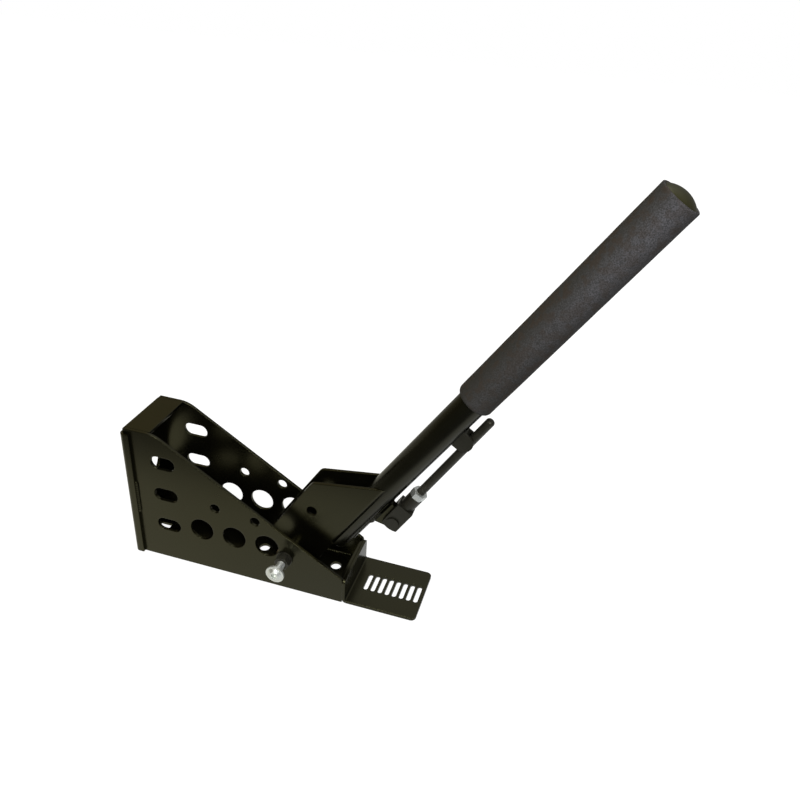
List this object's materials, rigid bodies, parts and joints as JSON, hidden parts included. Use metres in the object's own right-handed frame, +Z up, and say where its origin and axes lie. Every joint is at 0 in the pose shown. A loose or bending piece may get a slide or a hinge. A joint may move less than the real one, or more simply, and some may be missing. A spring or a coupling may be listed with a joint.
{
  "type": "parking brake lever",
  "caption": "Upright hand lever for a parking brake in a slanted sheet steel housing, with a foam grip and a hinged strut that props the pulled lever against a slotted tongue.",
  "frame": {"origin": "centre of the four base holes, on the underside of the housing", "axes": "+X to the front of the vehicle and the slotted tongue, +Y to its left along the pivot, +Z up"},
  "size_m": [0.4511, 0.1025, 0.4215],
  "materials": {
    "black_powder_coat": "semi-gloss powder coat",
    "blackened_steel": "satin blackened steel",
    "bright_zinc": "bright zinc plate",
    "bronze": "sintered bronze",
    "black_foam": "matte closed cell foam",
    "black_plastic": "satin moulded plastic"
  },
  "bodies": {
    "housing": {"right_side_plate": "black_powder_coat", "left_side_plate": "black_powder_coat", "rear_end_plate": "black_powder_coat", "base_plate": "black_powder_coat", "front_bracket": "black_powder_coat", "housing_welds": "black_powder_coat", "pivot_bolt": "bright_zinc", "pivot_jam_nut": "blackened_steel", "pivot_lock_nut": "bright_zinc", "pivot_washers": "blackened_steel"},
    "lever": {"lever_tube": "black_powder_coat", "right_wing_plate": "black_powder_coat", "left_wing_plate": "black_powder_coat", "pivot_sleeve": "black_powder_coat", "pivot_bushes": "bronze", "foam_grip": "black_foam", "grip_end_plug": "black_plastic", "strut_lug": "black_powder_coat", "rod_clip": "blackened_steel", "clip_rivet": "blackened_steel", "clevis_pin": "blackened_steel", "clevis_pin_ring": "blackened_steel", "lug_welds": "black_powder_coat"},
    "strut": {"strut_fork": "blackened_steel", "strut_rod": "blackened_steel", "strut_lock_nut": "bright_zinc"}
  },
  "joints": [
    {"name": "lever_pivot", "type": "hinge", "parent": "housing", "child": "lever", "pos_m": [0.0025, 0, 0.037], "axis": [0, -1, 0], "range_deg": [0, 48]},
    {"name": "strut_hinge", "type": "hinge", "parent": "lever", "child": "strut", "pos_m": [0.099, 0, 0.08951], "axis": [0, 1, 0], "range_deg": [0, 90]}
  ]
}
